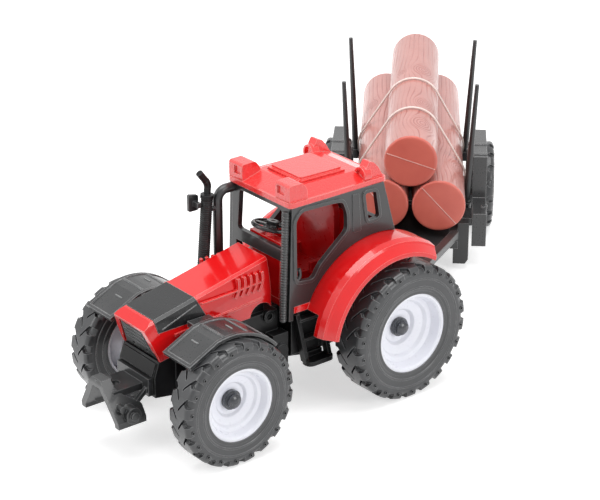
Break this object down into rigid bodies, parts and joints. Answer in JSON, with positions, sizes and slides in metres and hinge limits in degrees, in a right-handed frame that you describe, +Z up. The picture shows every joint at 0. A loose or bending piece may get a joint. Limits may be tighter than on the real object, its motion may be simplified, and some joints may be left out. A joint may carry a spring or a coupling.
{
  "type": "toy tractor with log trailer",
  "caption": "Toy farm tractor with open cab and dished wheels, towing a single-axle trailer that carries a tied bundle of logs between four stakes.",
  "frame": {"origin": "middle of the footprint, on the ground the wheels stand on", "axes": "+X is the way the tractor drives, +Y is its left side, +Z is up"},
  "size_m": [0.4586, 0.3176, 0.1381],
  "materials": {
    "red_plastic": "glossy moulded plastic",
    "black_plastic": "satin moulded plastic",
    "tyre": "dull moulded tyre",
    "white_plastic": "glossy moulded plastic",
    "steel": "drawn rod",
    "log_plastic": "satin plastic with moulded wood grain",
    "clear_band": "clear elastic cord"
  },
  "bodies": {
    "tractor": {"chassis": "black_plastic", "front_axle_rod": "steel", "rear_axle_rod": "steel", "front_hub_caps": "black_plastic", "rear_hub_caps": "black_plastic", "front_mudguard_left": "black_plastic", "front_mudguard_right": "black_plastic", "bonnet": "red_plastic", "bonnet_insert": "black_plastic", "grille": "black_plastic", "nose_block": "black_plastic", "front_coupler": "black_plastic", "exhaust": "black_plastic", "side_mirror": "black_plastic", "intake_tube": "black_plastic", "pillar_hose": "black_plastic", "cab_side_left": "black_plastic", "cab_side_right": "black_plastic", "cab_front_frame": "black_plastic", "cab_rear_frame": "black_plastic", "roof": "red_plastic", "roof_hatch": "red_plastic", "rear_body": "red_plastic", "seat": "red_plastic", "dashboard": "red_plastic", "step_left": "black_plastic", "step_right": "black_plastic", "side_tanks": "black_plastic", "tow_bracket": "black_plastic", "tow_pin": "black_plastic"},
    "front_wheel_left": {"tyre_front_left": "tyre", "rim_front_left": "white_plastic"},
    "front_wheel_right": {"tyre_front_right": "tyre", "rim_front_right": "white_plastic"},
    "rear_wheel_left": {"tyre_rear_left": "tyre", "rim_rear_left": "white_plastic"},
    "rear_wheel_right": {"tyre_rear_right": "tyre", "rim_rear_right": "white_plastic"},
    "steering": {"steering_wheel": "black_plastic"},
    "trailer": {"drawbar_left": "black_plastic", "drawbar_right": "black_plastic", "drawbar_eye": "black_plastic", "side_rails": "black_plastic", "bed_plate": "black_plastic", "front_bunk": "black_plastic", "rear_bunk": "black_plastic", "stakes": "black_plastic", "parking_legs": "black_plastic", "trailer_axle": "black_plastic", "trailer_hub_caps": "black_plastic", "trailer_mudguards": "black_plastic"},
    "trailer_wheel_left": {"tyre_trailer_left": "tyre", "rim_trailer_left": "white_plastic"},
    "trailer_wheel_right": {"tyre_trailer_right": "tyre", "rim_trailer_right": "white_plastic"},
    "log_load": {"log_top": "log_plastic", "log_left": "log_plastic", "log_right": "log_plastic", "tie_bands": "clear_band"}
  },
  "joints": [
    {"name": "front_wheel_left_spin", "type": "hinge", "parent": "tractor", "child": "front_wheel_left", "pos_m": [0.17484, 0.15095, 0.0358], "axis": [0, 1, 0], "continuous": true},
    {"name": "front_wheel_right_spin", "type": "hinge", "parent": "tractor", "child": "front_wheel_right", "pos_m": [0.17484, 0.05295, 0.0358], "axis": [0, 1, 0], "continuous": true},
    {"name": "rear_wheel_left_spin", "type": "hinge", "parent": "tractor", "child": "rear_wheel_left", "pos_m": [0.05224, 0.14695, 0.0405], "axis": [0, 1, 0], "continuous": true},
    {"name": "rear_wheel_right_spin", "type": "hinge", "parent": "tractor", "child": "rear_wheel_right", "pos_m": [0.05224, 0.05695, 0.0405], "axis": [0, 1, 0], "continuous": true},
    {"name": "steering_wheel_turn", "type": "hinge", "parent": "tractor", "child": "steering", "pos_m": [0.11144, 0.10195, 0.099], "axis": [-0.2419, 0, 0.9703], "continuous": true},
    {"name": "trailer_yaw", "type": "hinge", "parent": "tractor", "child": "trailer", "pos_m": [0.01184, 0.10195, 0.0315], "axis": [0, 0, 1], "range_deg": [-107, 13]},
    {"name": "trailer_wheel_left_spin", "type": "hinge", "parent": "trailer", "child": "trailer_wheel_left", "pos_m": [-0.15792, -0.00981, 0.0295], "axis": [-0.7385, 0.6743, 0], "continuous": true},
    {"name": "trailer_wheel_right_spin", "type": "hinge", "parent": "trailer", "child": "trailer_wheel_right", "pos_m": [-0.08407, -0.07724, 0.0295], "axis": [-0.7385, 0.6743, 0], "continuous": true},
    {"name": "log_load_lift", "type": "slide", "parent": "trailer", "child": "log_load", "axis": [0, 0, 1], "range_m": [0, 0.12]}
  ]
}
